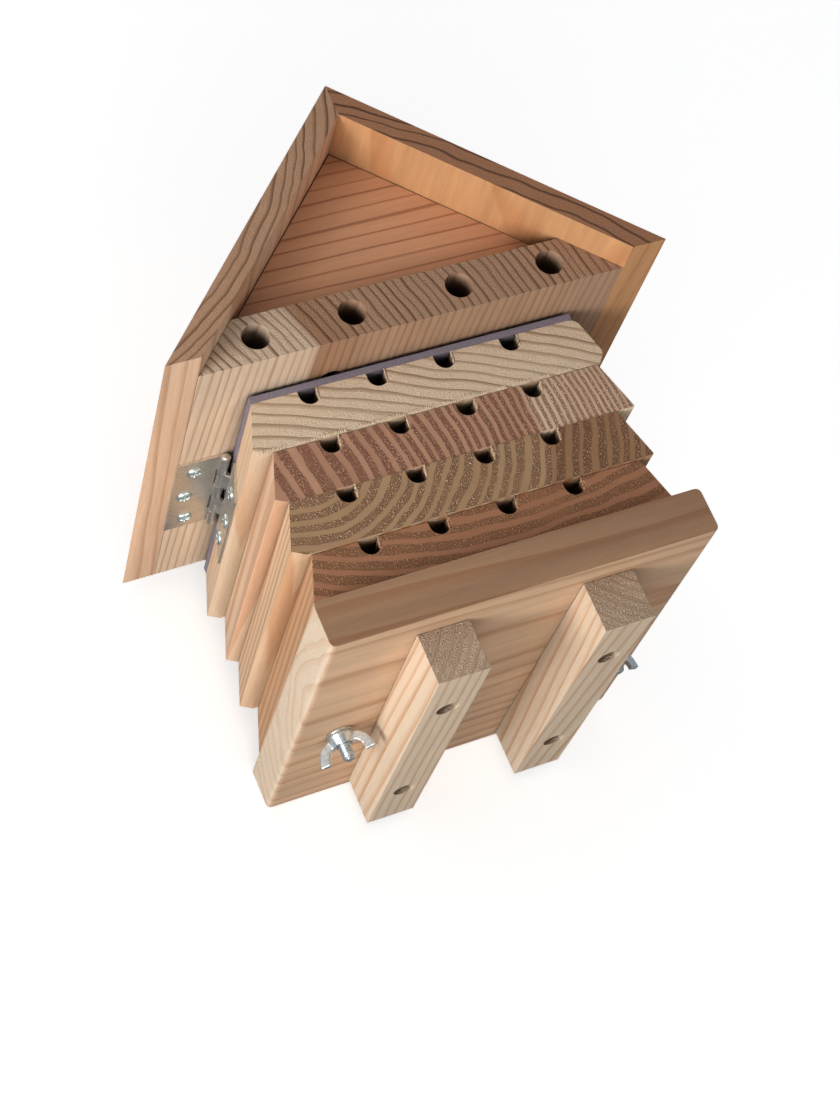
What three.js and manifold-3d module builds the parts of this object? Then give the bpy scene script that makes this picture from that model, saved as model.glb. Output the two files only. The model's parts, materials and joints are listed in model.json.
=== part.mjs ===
// A solitary bee nest box: four grooved trays stacked on a base board, two clamp
// bolts with wing nuts, and a pitched roof on a butt hinge along the left side.
// Millimetres. +Z is up, +X is right and -Y is the front, where the nest holes open.
// The origin is the middle of the whole box's footprint, on the plane the battens rest on.
// The sizes below are measured from the middle of the base board; the group is moved at the end.

import * as THREE from 'three';
import { mergeVertices } from 'three/addons/utils/BufferGeometryUtils.js';
import Module from 'manifold-3d';

const wasm = await Module();
wasm.setup();

// ---------- driving dimensions ----------

const JOINT_GAP = 0.1;          // air left between boards that lie on each other
const FITTED_GAP = 0.05;        // air left between metal parts that bear on each other
const CLEARANCE = 0.2;          // radial air round a shank in its hole
const THROUGH = 1;              // how far a cutting tool reaches past the face it cuts

const BATTEN = { width: 19.5, height: 18.8, length: 135, centreY: 4.2, xs: { left: -30.3, right: 32.8 } };
const BATTEN_SCREW = { spacing: 78.5, headRadius: 3.6, shankRadius: 1.9, length: 25, counterboreRadius: 4.3 };
const COUNTERBORE_DEPTH = 9;

const BASE = { width: 146.5, depth: 150.5, thickness: 17.2, corner: 2.4 };

const TRAY = {
  depth: 134, thickness: 19.8, topWidth: 126, bottomWidth: 138.2,
  undercutWidth: 4.6, undercutHeight: 2.5,
};
const TRAY_SHIFT = { tray_1: 0, tray_2: 0.3, tray_3: -1.6, tray_4: -1.1 };   // to the right
const TRAY_SETBACK = { tray_1: 0, tray_2: 0, tray_3: -0.5, tray_4: 0.7 };    // to the back
const TRAY_CORNER = 0.8;
const WORN_EDGE = { footIn: 4.8, wideIn: 1.6, wideHeight: 4.2, wideRadius: 1.5, topRadius: 3.5 };
const GROOVE = { count: 4, pitch: 26, width: 7.5, depth: 6, offset: -3.2, stopFromBack: 12 };

const SHEET = { thickness: 2.5, shortfall: 1.2 };
const ROOF_GAP = 1.6;           // air between the cover sheet and the closed roof

const BOLT = {
  x: 55, y: 11.6, radius: 2.5, headRadius: 4.6, headHeight: 2.3, belowBase: 11.3, chamfer: 0.8, holeAir: 0.3,
};
const CROSS_SLOT = { reach: 2.8, halfWidth: 0.5, depth: 1.3 };
const WASHER = { radius: 5.1, thickness: 1, boreAir: 0.25 };
const NUT = {
  height: 4.2, baseRadius: 5, baseHeight: 0.8, topRadius: 4, earReach: 10.7, earDrop: 9.1,
  earThickness: 2.2, earTip: 3.6, earRoot: 3,
};
const NUT_TURN = { left: -26, right: 26 };   // resting angle of the ears, degrees

const ROOF = {
  centreX: -2.4, halfWidth: 94.2, height: 92.5, boardThickness: 9.2,
  front: -101, back: 63.4,
};
const ROOF_FIT = 0.15;          // air between the roof boards and what is fixed between them
const BLOCK = { thickness: 17.9, front: -88 };
const NEST_HOLE = { radius: 5.1, height: 9.4, depth: 130, offsets: [-56.7, -21, 19.8, 55.4] };
const UNDERSIDE_HOLE = { x: -31, y: -62.5, radius: 4.5, depth: 5 };
const GABLE = { thickness: 9, frontFace: -78, backFace: 60, peakGap: 0.3 };
const NAIL = {
  headRadius: 1.7, headHeight: 0.8, shankRadius: 0.8, length: 18.5, point: 1.5, height: 9.6,
  ys: { front: -72, back: 42 },
};

const HINGE = {
  length: 50, centreY: -1.5, plate: 1, barrelRadius: 1.8, pinRadius: 1, leafReach: 18.2,
  knuckles: 5, knuckleGap: 0.3,
};
const HINGE_PIN_X = -66;
const PIN_HEAD = { radius: 1.5, height: 0.5, flat: 1.05 };
const HINGE_SCREW = { headRadius: 2.9, headRise: 0.5, shankRadius: 1.4, length: 11, spacing: 17.5 };
const HINGE_SCREW_REACH = { outer: 10.9, middle: 12.9 };   // distance from the pin axis

// ---------- heights worked out from the thicknesses ----------

const baseBottom = BATTEN.height + JOINT_GAP;
const baseTop = baseBottom + BASE.thickness;
const trayPitch = TRAY.thickness + JOINT_GAP;
const trayBottom = (number) => baseTop + JOINT_GAP + (GROOVE.count - number) * trayPitch;
const stackTop = trayBottom(1) + TRAY.thickness;
const sheetBottom = stackTop + JOINT_GAP;
const sheetTop = sheetBottom + SHEET.thickness;
const roofBottom = sheetTop + ROOF_GAP;

// ---------- materials ----------

const paint = (color, roughness, metalness) => (
  new THREE.MeshStandardMaterial({ color, roughness, metalness })
);
const paleWood = () => paint(0xd8b48c, 0.8, 0);
const redWood = () => paint(0xa97a5c, 0.82, 0);
const orangeWood = () => paint(0xc99062, 0.8, 0);
const greySheet = () => paint(0x8a8089, 0.75, 0);
const zinc = () => paint(0xb9bcb8, 0.35, 0.9);

// ---------- solids ----------

function solidOf(geometry) {
  const bare = geometry.index ? geometry.toNonIndexed() : geometry.clone();
  bare.deleteAttribute('normal');
  bare.deleteAttribute('uv');
  const merged = mergeVertices(bare, 1e-5);
  const vertProperties = new Float32Array(merged.attributes.position.array);
  const triVerts = new Uint32Array(merged.index.array);
  return new wasm.Manifold(new wasm.Mesh({ numProp: 3, vertProperties, triVerts }));
}

function geometryOf(solid) {
  const mesh = solid.getMesh();
  const geometry = new THREE.BufferGeometry();
  geometry.setAttribute('position', new THREE.BufferAttribute(new Float32Array(mesh.vertProperties), 3));
  geometry.setIndex(new THREE.BufferAttribute(new Uint32Array(mesh.triVerts), 1));
  const flat = geometry.toNonIndexed();
  flat.computeVertexNormals();
  return flat;
}

const joined = (solids) => solids.reduce((whole, next) => whole.add(next));
const cut = (solid, tools) => tools.reduce((rest, tool) => rest.subtract(tool), solid);

// A shape drawn in (x, z), pushed from y0 to y1.
function alongY(shape, y0, y1, curveSegments = 10) {
  const geometry = new THREE.ExtrudeGeometry(shape, { depth: y1 - y0, bevelEnabled: false, curveSegments });
  geometry.rotateX(Math.PI / 2);
  geometry.translate(0, y1, 0);
  return geometry;
}

function box(x0, x1, y0, y1, z0, z1) {
  const geometry = new THREE.BoxGeometry(x1 - x0, y1 - y0, z1 - z0);
  geometry.translate((x0 + x1) / 2, (y0 + y1) / 2, (z0 + z1) / 2);
  return geometry;
}

function rodAlongZ(x, y, z0, z1, radius, segments = 24) {
  const geometry = new THREE.CylinderGeometry(radius, radius, z1 - z0, segments);
  geometry.rotateX(Math.PI / 2);
  geometry.translate(x, y, (z0 + z1) / 2);
  return geometry;
}

function rodAlongY(x, z, y0, y1, radius, segments = 24) {
  const geometry = new THREE.CylinderGeometry(radius, radius, y1 - y0, segments);
  geometry.translate(x, (y0 + y1) / 2, z);
  return geometry;
}

// A body of revolution about +Z. Its [radius, z] points run down from the axis back to the axis.
function turned(points, segments = 24) {
  const upward = points.map(([r, z]) => new THREE.Vector2(r, z)).reverse();
  const geometry = new THREE.LatheGeometry(upward, segments);
  geometry.rotateX(Math.PI / 2);
  return geometry;
}

function polygon(points) {
  const shape = new THREE.Shape();
  points.forEach(([x, z], i) => (i === 0 ? shape.moveTo(x, z) : shape.lineTo(x, z)));
  shape.closePath();
  return shape;
}

// A polygon whose corners are [x, z, radius]; each corner with a radius is rounded.
function roundedPolygon(corners) {
  const shape = new THREE.Shape();
  const count = corners.length;
  corners.forEach(([x, z, radius = 0], i) => {
    const corner = new THREE.Vector2(x, z);
    const before = new THREE.Vector2(...corners[(i + count - 1) % count].slice(0, 2));
    const after = new THREE.Vector2(...corners[(i + 1) % count].slice(0, 2));
    const entry = before.sub(corner).setLength(radius).add(corner);
    const exit = after.sub(corner).setLength(radius).add(corner);
    if (i === 0) {
      shape.moveTo(entry.x, entry.y);
    } else {
      shape.lineTo(entry.x, entry.y);
    }
    if (radius > 0) {
      shape.quadraticCurveTo(x, z, exit.x, exit.y);
    }
  });
  shape.closePath();
  return shape;
}

// ---------- fasteners ----------

const SCREW_SEGMENTS = 20;

// The two crossed bars that cut a cross recess, from a head's top down to its depth.
function crossBars(reach, halfWidth, top, depth) {
  return [
    solidOf(box(-reach, reach, -halfWidth, halfWidth, top - depth, top + THROUGH)),
    solidOf(box(-halfWidth, halfWidth, -reach, reach, top - depth, top + THROUGH)),
  ];
}

// A countersunk cross-recess screw. Its head's top is at z = rise and its shank points down -Z.
function screw({ headRadius, shankRadius, length, rise = 0, recess = 1.5 }) {
  const flatRadius = headRadius * 0.75;
  const coneHeight = headRadius - shankRadius;
  const pointLength = shankRadius * 1.6;
  const body = solidOf(turned([
    [0, rise], [flatRadius, rise], [headRadius, 0], [shankRadius, -coneHeight],
    [shankRadius, -length + pointLength], [0, -length],
  ], SCREW_SEGMENTS));
  return cut(body, crossBars(headRadius * 0.62, headRadius * 0.14, rise, recess));
}

// The hole that a screw() needs, with air all round it.
function screwHole({ headRadius, shankRadius, length }) {
  const radius = shankRadius + CLEARANCE;
  const rim = headRadius + CLEARANCE;
  const coneHeight = headRadius - shankRadius;
  const end = -length - 2 * CLEARANCE;
  return solidOf(turned([
    [0, 2 * THROUGH], [rim, 2 * THROUGH], [rim, 0], [radius, -coneHeight], [radius, end], [0, end],
  ], SCREW_SEGMENTS));
}

// Turns a solid that points down -Z so that it points along the (x, z) direction, and moves it.
function aimed(solid, place, direction) {
  const turn = THREE.MathUtils.radToDeg(Math.atan2(-direction[0], -direction[1]));
  return solid.rotate([0, turn, 0]).translate(place);
}

// ---------- base ----------

const battenScrewYs = {
  front: BATTEN.centreY - BATTEN_SCREW.spacing / 2,
  back: BATTEN.centreY + BATTEN_SCREW.spacing / 2,
};

function battenScrewSeat(side, end) {
  return [BATTEN.xs[side], battenScrewYs[end], COUNTERBORE_DEPTH];
}

const pointUp = [0, 1];
const eachSideAndEnd = ['left', 'right'].flatMap((side) => ['front', 'back'].map((end) => [side, end]));

function batten(side) {
  const x = BATTEN.xs[side];
  const y0 = BATTEN.centreY - BATTEN.length / 2;
  const half = BATTEN.width / 2;
  const body = solidOf(box(x - half, x + half, y0, y0 + BATTEN.length, 0, BATTEN.height));
  const holes = ['front', 'back'].flatMap((end) => {
    const y = battenScrewYs[end];
    const seat = battenScrewSeat(side, end);
    return [
      solidOf(rodAlongZ(x, y, -THROUGH, COUNTERBORE_DEPTH, BATTEN_SCREW.counterboreRadius)),
      aimed(screwHole(BATTEN_SCREW), seat, pointUp),
    ];
  });
  return cut(body, holes);
}

function battenScrew(side, end) {
  return aimed(screw(BATTEN_SCREW), battenScrewSeat(side, end), pointUp);
}

function boltHoles(z0, z1) {
  return [-BOLT.x, BOLT.x].map((x) => solidOf(rodAlongZ(x, BOLT.y, z0, z1, BOLT.radius + BOLT.holeAir)));
}

function baseBoard() {
  const half = BASE.width / 2;
  const outline = roundedPolygon([
    [-half, baseBottom, BASE.corner], [half, baseBottom, BASE.corner],
    [half, baseTop, BASE.corner], [-half, baseTop, BASE.corner],
  ]);
  const body = solidOf(alongY(outline, -BASE.depth / 2, BASE.depth / 2, 4));
  const pilots = eachSideAndEnd.map(([side, end]) => (
    aimed(screwHole(BATTEN_SCREW), battenScrewSeat(side, end), pointUp)
  ));
  return cut(body, [...boltHoles(baseBottom - THROUGH, baseTop + THROUGH), ...pilots]);
}

// ---------- nest trays ----------

function grooveShape(centreX, top) {
  const half = GROOVE.width / 2;
  const bottom = top - GROOVE.depth;
  const shape = new THREE.Shape();
  shape.moveTo(centreX - half, top + THROUGH);
  shape.lineTo(centreX - half, bottom + half);
  shape.absarc(centreX, bottom + half, half, Math.PI, 2 * Math.PI, false);
  shape.lineTo(centreX + half, top + THROUGH);
  shape.closePath();
  return shape;
}

function grooveXs(shift) {
  const first = shift + GROOVE.offset - GROOVE.pitch * (GROOVE.count - 1) / 2;
  return Array.from({ length: GROOVE.count }, (_, i) => first + i * GROOVE.pitch);
}

// The right edge as cut, from top to bottom; the top tray is more worn there than the others.
function trayRightEdge(name, x, bottom, top) {
  const narrow = x + TRAY.topWidth / 2;
  const wide = x + TRAY.bottomWidth / 2;
  if (name === 'tray_1') {
    const { footIn, wideIn, wideHeight, wideRadius, topRadius } = WORN_EDGE;
    return [
      [wide - footIn, bottom], [wide - wideIn, bottom + wideHeight, wideRadius], [narrow, top, topRadius],
    ];
  }
  return [[wide, bottom, TRAY_CORNER], [narrow, top, TRAY_CORNER]];
}

function tray(name) {
  const x = TRAY_SHIFT[name];
  const bottom = trayBottom(Number(name.slice(-1)));
  const top = bottom + TRAY.thickness;
  const front = TRAY_SETBACK[name] - TRAY.depth / 2;
  const back = front + TRAY.depth;
  const widest = x - TRAY.bottomWidth / 2;
  const outline = roundedPolygon([
    [x - TRAY.topWidth / 2, top], [widest, bottom + TRAY.undercutHeight],
    [widest + TRAY.undercutWidth, bottom], ...trayRightEdge(name, x, bottom, top),
  ]);
  const body = solidOf(alongY(outline, front, back, 5));
  const grooves = grooveXs(x).map((grooveX) => (
    solidOf(alongY(grooveShape(grooveX, top), front - THROUGH, back - GROOVE.stopFromBack, 7))
  ));
  const hingeHoles = name === 'tray_1' ? lowerHingeHoles() : [];
  return cut(body, [...grooves, ...boltHoles(bottom - THROUGH, top + THROUGH), ...hingeHoles]);
}

function coverSheet() {
  const half = TRAY.topWidth / 2;
  const back = TRAY.depth / 2;
  const body = solidOf(box(-half, half - SHEET.shortfall, -back, back, sheetBottom, sheetTop));
  const rim = BOLT.headRadius + CLEARANCE;
  const throat = BOLT.radius + BOLT.holeAir;
  const below = -SHEET.thickness - THROUGH;
  const seats = [-BOLT.x, BOLT.x].map((x) => solidOf(turned([
    [0, THROUGH], [rim, THROUGH], [rim, 0], [throat, -BOLT.headHeight], [throat, below], [0, below],
  ])).translate([x, BOLT.y, sheetTop]));
  return cut(body, seats);
}

// ---------- clamp bolts, washers and wing nuts ----------

function clampBolt(x) {
  const top = sheetTop - JOINT_GAP;
  const end = baseBottom - BOLT.belowBase;
  const body = solidOf(turned([
    [0, top], [BOLT.headRadius, top], [BOLT.radius, top - BOLT.headHeight],
    [BOLT.radius, end + BOLT.chamfer], [BOLT.radius - BOLT.chamfer, end], [0, end],
  ], 28));
  const recess = crossBars(CROSS_SLOT.reach, CROSS_SLOT.halfWidth, top, CROSS_SLOT.depth);
  return cut(body, recess).translate([x, BOLT.y, 0]);
}

const washerTop = baseBottom - JOINT_GAP;
const nutTop = washerTop - WASHER.thickness - FITTED_GAP;

function washer(x) {
  const z0 = washerTop - WASHER.thickness;
  const disc = solidOf(rodAlongZ(x, BOLT.y, z0, washerTop, WASHER.radius, 32));
  const bore = rodAlongZ(x, BOLT.y, z0 - THROUGH, washerTop + THROUGH, BOLT.radius + WASHER.boreAir);
  return disc.subtract(solidOf(bore));
}

// One ear, drawn as radius against height; it leaves the barrel and turns down to a flat tip.
function earShape() {
  const top = -0.8;
  const rootFoot = -4;
  const shape = new THREE.Shape();
  shape.moveTo(NUT.earRoot, top);
  shape.quadraticCurveTo(NUT.earReach - 0.4, top + 0.2, NUT.earReach, -NUT.earDrop);
  shape.lineTo(NUT.earReach - NUT.earTip, -NUT.earDrop);
  shape.quadraticCurveTo(NUT.earRoot + NUT.earTip, rootFoot + 0.3, NUT.earRoot, rootFoot);
  shape.closePath();
  return shape;
}

function wingNut(x, turn) {
  const barrel = solidOf(turned([
    [0, 0], [NUT.baseRadius, 0], [NUT.baseRadius, -NUT.baseHeight],
    [NUT.topRadius, -NUT.height], [0, -NUT.height],
  ]));
  const halfThick = NUT.earThickness / 2;
  const ear = solidOf(alongY(earShape(), -halfThick, halfThick, 8));
  const bore = solidOf(rodAlongZ(0, 0, -NUT.height - THROUGH, THROUGH, BOLT.radius + WASHER.boreAir));
  const nut = joined([barrel, ear, ear.rotate([0, 0, 180])]).subtract(bore);
  return nut.rotate([0, 0, turn]).translate([x, BOLT.y, nutTop]);
}

// ---------- roof ----------

const slope = Math.atan2(ROOF.height, ROOF.halfWidth);
const boardDrop = ROOF.boardThickness / Math.cos(slope);    // board thickness measured upright
const boardFoot = ROOF.boardThickness / Math.sin(slope);    // board thickness measured level
const innerHalf = ROOF.halfWidth - boardFoot;
const innerHeight = ROOF.height - boardDrop;
const sideSign = { left: -1, right: 1 };

// Half the clear width between the roof boards at a height above the roof's underside.
const clearHalfWidth = (height) => innerHalf * (1 - height / innerHeight) - ROOF_FIT;

function nailAxis(side) {
  const sign = sideSign[side];
  const inward = [-sign * Math.sin(slope), -Math.cos(slope)];
  const onBlock = clearHalfWidth(NAIL.height) + ROOF_FIT;
  const seatX = ROOF.centreX + sign * onBlock - inward[0] * ROOF.boardThickness;
  const seatZ = roofBottom + NAIL.height - inward[1] * ROOF.boardThickness;
  return { inward, seatX, seatZ };
}

function nailPlace(side, end) {
  const { seatX, seatZ } = nailAxis(side);
  return [seatX, NAIL.ys[end], seatZ];
}

function roofNail(side, end) {
  const body = solidOf(turned([
    [0, 0], [NAIL.headRadius, 0], [NAIL.headRadius, -NAIL.headHeight], [NAIL.shankRadius, -NAIL.headHeight],
    [NAIL.shankRadius, -NAIL.length + NAIL.point], [0, -NAIL.length],
  ], 16));
  return aimed(body, nailPlace(side, end), nailAxis(side).inward);
}

function nailHole(side, end) {
  const rim = NAIL.headRadius + CLEARANCE;
  const radius = NAIL.shankRadius + CLEARANCE;
  const seat = -NAIL.headHeight - JOINT_GAP;
  const depth = -NAIL.length - 2 * CLEARANCE;
  const body = solidOf(turned([
    [0, 2 * THROUGH], [rim, 2 * THROUGH], [rim, seat], [radius, seat], [radius, depth], [0, depth],
  ], 16));
  return aimed(body, nailPlace(side, end), nailAxis(side).inward);
}

function roofBoard(side) {
  const sign = sideSign[side];
  const x = (across) => ROOF.centreX + sign * across;
  const mitre = JOINT_GAP / 2;
  const outline = polygon([
    [x(mitre), roofBottom + ROOF.height], [x(mitre), roofBottom + innerHeight],
    [x(innerHalf), roofBottom], [x(ROOF.halfWidth), roofBottom],
  ]);
  const body = solidOf(alongY(outline, ROOF.front, ROOF.back));
  const nails = ['front', 'back'].map((end) => nailHole(side, end));
  return cut(body, side === 'left' ? [...nails, ...upperHingeHoles()] : nails);
}

// The hinge screws pass through the thin edge of the block into the left roof board.
const upperHingeHoles = () => hingeScrewNames.map((end) => (
  aimed(screwHole(HINGE_SCREW), upperScrewSeat(end), pointUp)
));

function roofBlock() {
  const top = roofBottom + BLOCK.thickness;
  const lowHalf = clearHalfWidth(0);
  const highHalf = clearHalfWidth(BLOCK.thickness);
  const outline = polygon([
    [ROOF.centreX - lowHalf, roofBottom], [ROOF.centreX + lowHalf, roofBottom],
    [ROOF.centreX + highHalf, top], [ROOF.centreX - highHalf, top],
  ]);
  const body = solidOf(alongY(outline, BLOCK.front, ROOF.back));
  const nests = NEST_HOLE.offsets.map((offset) => solidOf(rodAlongY(
    ROOF.centreX + offset, roofBottom + NEST_HOLE.height,
    BLOCK.front - THROUGH, BLOCK.front + NEST_HOLE.depth, NEST_HOLE.radius, 32)));
  const under = solidOf(rodAlongZ(UNDERSIDE_HOLE.x, UNDERSIDE_HOLE.y, roofBottom - THROUGH,
    roofBottom + UNDERSIDE_HOLE.depth, UNDERSIDE_HOLE.radius));
  const nails = eachSideAndEnd.map(([side, end]) => nailHole(side, end));
  return cut(body, [...nests, under, ...nails, ...upperHingeHoles()]);
}

function gablePanel(face) {
  const foot = BLOCK.thickness + JOINT_GAP;
  const half = clearHalfWidth(foot);
  const top = innerHeight - GABLE.peakGap;
  const outline = polygon([
    [ROOF.centreX - half, roofBottom + foot], [ROOF.centreX + half, roofBottom + foot],
    [ROOF.centreX, roofBottom + top],
  ]);
  return solidOf(alongY(outline, face, face + GABLE.thickness));
}

// ---------- hinge ----------

const hingeScrewNames = ['front', 'middle', 'back'];
const hingePinZ = roofBottom - FITTED_GAP - HINGE.barrelRadius;
const hingeFront = HINGE.centreY - HINGE.length / 2;

// The bevelled left face of the top tray: its top corner, its way down and the way into the wood.
const bevelTop = [-TRAY.topWidth / 2, stackTop];
const bevelRun = (TRAY.bottomWidth - TRAY.topWidth) / 2;
const bevelFall = TRAY.thickness - TRAY.undercutHeight;
const bevelLength = Math.hypot(bevelRun, bevelFall);
const lowerDown = [-bevelRun / bevelLength, -bevelFall / bevelLength];
const lowerInward = [bevelFall / bevelLength, -bevelRun / bevelLength];

// A point on the bevel's own axes: so far down the face and so far out from it.
const onBevel = (down, out) => [
  bevelTop[0] + lowerDown[0] * down - lowerInward[0] * out,
  bevelTop[1] + lowerDown[1] * down - lowerInward[1] * out,
];
const pinOffset = [HINGE_PIN_X - bevelTop[0], hingePinZ - bevelTop[1]];
const pinDown = pinOffset[0] * lowerDown[0] + pinOffset[1] * lowerDown[1];
const pinOut = -pinOffset[0] * lowerInward[0] - pinOffset[1] * lowerInward[1];

const hingeScrewReach = (end) => (end === 'middle' ? HINGE_SCREW_REACH.middle : HINGE_SCREW_REACH.outer);
const hingeScrewY = (end) => HINGE.centreY + (hingeScrewNames.indexOf(end) - 1) * HINGE_SCREW.spacing;
const plateFace = FITTED_GAP + HINGE.plate;

function upperScrewSeat(end) {
  return [HINGE_PIN_X - hingeScrewReach(end), hingeScrewY(end), roofBottom - plateFace];
}

function lowerScrewSeat(end) {
  const [x, z] = onBevel(pinDown + hingeScrewReach(end), plateFace);
  return [x, hingeScrewY(end), z];
}

const lowerHingeHoles = () => hingeScrewNames.map((end) => (
  aimed(screwHole(HINGE_SCREW), lowerScrewSeat(end), lowerInward)
));

function knuckleRings(first) {
  const pitch = HINGE.length / HINGE.knuckles;
  const rings = [];
  for (let i = first; i < HINGE.knuckles; i += 2) {
    const y0 = hingeFront + i * pitch + HINGE.knuckleGap / 2;
    rings.push([y0, y0 + pitch - HINGE.knuckleGap]);
  }
  return rings;
}

// A leaf: a drilled plate, and a neck and a ring at each of its own knuckles.
function hingeLeaf(plateOutline, neckOutline, firstKnuckle, screwHoles) {
  const plate = solidOf(alongY(plateOutline, hingeFront, hingeFront + HINGE.length));
  const knuckles = knuckleRings(firstKnuckle).flatMap(([y0, y1]) => [
    solidOf(alongY(neckOutline, y0, y1)),
    solidOf(rodAlongY(HINGE_PIN_X, hingePinZ, y0, y1, HINGE.barrelRadius)),
  ]);
  const bore = solidOf(rodAlongY(HINGE_PIN_X, hingePinZ,
    hingeFront - THROUGH, hingeFront + HINGE.length + THROUGH, HINGE.pinRadius + CLEARANCE));
  return cut(joined([plate, ...knuckles]), [bore, ...screwHoles]);
}

function upperLeaf() {
  const top = roofBottom - FITTED_GAP;
  const under = top - HINGE.plate;
  const outer = HINGE_PIN_X - HINGE.leafReach;
  const plateEnd = HINGE_PIN_X - HINGE.barrelRadius - 2 * CLEARANCE;
  const plate = polygon([[outer, under], [plateEnd, under], [plateEnd, top], [outer, top]]);
  const neckStart = plateEnd - HINGE.plate / 2;
  const neck = polygon([
    [neckStart, under], [HINGE_PIN_X - HINGE.plate, under], [HINGE_PIN_X, top], [neckStart, top],
  ]);
  return hingeLeaf(plate, neck, 0, upperHingeHoles());
}

function lowerLeaf() {
  const start = pinDown + HINGE.barrelRadius + 3 * CLEARANCE;
  const plate = polygon([
    onBevel(start, FITTED_GAP), onBevel(pinDown + HINGE.leafReach, FITTED_GAP),
    onBevel(pinDown + HINGE.leafReach, plateFace), onBevel(start, plateFace),
  ]);
  const neckStart = start + HINGE.plate / 2;
  const insideRing = HINGE.barrelRadius - 0.15;
  const neck = polygon([
    onBevel(neckStart, FITTED_GAP), onBevel(neckStart, plateFace), onBevel(pinDown + insideRing, pinOut),
    onBevel(pinDown, pinOut - insideRing),
  ]);
  return hingeLeaf(plate, neck, 1, lowerHingeHoles());
}

function hingePin() {
  const { radius, height, flat } = PIN_HEAD;
  const far = -HINGE.length;
  const pin = solidOf(turned([
    [0, height], [flat, height], [radius, FITTED_GAP], [HINGE.pinRadius, FITTED_GAP],
    [HINGE.pinRadius, far - FITTED_GAP], [radius, far - FITTED_GAP], [flat, far - height], [0, far - height],
  ], SCREW_SEGMENTS));
  return pin.rotate([90, 0, 0]).translate([HINGE_PIN_X, hingeFront, hingePinZ]);
}

const hingeScrew = () => screw({ ...HINGE_SCREW, rise: HINGE_SCREW.headRise, recess: 1.2 });
const upperHingeScrew = (end) => aimed(hingeScrew(), upperScrewSeat(end), pointUp);
const lowerHingeScrew = (end) => aimed(hingeScrew(), lowerScrewSeat(end), lowerInward);

// ---------- assembly ----------

function named(name, solid, material) {
  const mesh = new THREE.Mesh(geometryOf(solid), material);
  mesh.name = name;
  return mesh;
}

function groupOf(meshes) {
  const group = new THREE.Group();
  meshes.forEach((mesh) => group.add(mesh));
  return group;
}

const baseGroup = groupOf([
  named('base_board', baseBoard(), orangeWood()),
  named('batten_left', batten('left'), paleWood()),
  named('batten_right', batten('right'), paleWood()),
  ...eachSideAndEnd.map(([side, end]) => (
    named(`batten_screw_${side}_${end}`, battenScrew(side, end), zinc())
  )),
]);

const trayColours = { tray_1: paleWood, tray_2: redWood, tray_3: orangeWood, tray_4: redWood };
const stackGroup = groupOf([
  ...Object.keys(TRAY_SHIFT).map((name) => named(name, tray(name), trayColours[name]())),
  named('cover_sheet', coverSheet(), greySheet()),
]);

const clampGroup = groupOf(['left', 'right'].flatMap((side) => {
  const x = sideSign[side] * BOLT.x;
  return [
    named(`clamp_bolt_${side}`, clampBolt(x), zinc()),
    named(`washer_${side}`, washer(x), zinc()),
    named(`wing_nut_${side}`, wingNut(x, NUT_TURN[side]), zinc()),
  ];
}));

const roofGroup = groupOf([
  named('roof_block', roofBlock(), paleWood()),
  named('roof_board_left', roofBoard('left'), orangeWood()),
  named('roof_board_right', roofBoard('right'), orangeWood()),
  named('gable_panel_front', gablePanel(GABLE.frontFace), redWood()),
  named('gable_panel_back', gablePanel(GABLE.backFace - GABLE.thickness), redWood()),
  ...eachSideAndEnd.map(([side, end]) => named(`roof_nail_${side}_${end}`, roofNail(side, end), zinc())),
]);

const hingeGroup = groupOf([
  named('hinge_leaf_upper', upperLeaf(), zinc()),
  named('hinge_leaf_lower', lowerLeaf(), zinc()),
  named('hinge_pin', hingePin(), zinc()),
  ...hingeScrewNames.map((end) => named(`hinge_screw_upper_${end}`, upperHingeScrew(end), zinc())),
  ...hingeScrewNames.map((end) => named(`hinge_screw_lower_${end}`, lowerHingeScrew(end), zinc())),
]);

const nestBox = new THREE.Group();
nestBox.add(baseGroup, stackGroup, clampGroup, roofGroup, hingeGroup);
const footprintMiddle = (ROOF.front + BASE.depth / 2) / 2;
nestBox.position.set(-ROOF.centreX, -footprintMiddle, 0);

export default nestBox;
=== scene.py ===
"""The looks of a solitary bee nest box: softwood boards, a fibre sheet and zinc-plated hardware.

Metres, +Z up and -Y to the front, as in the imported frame. Wood patterns are described in millimetres.
"""

import json
import math
import random

import bmesh
import bpy
from mathutils import Matrix, Vector, noise


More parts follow.
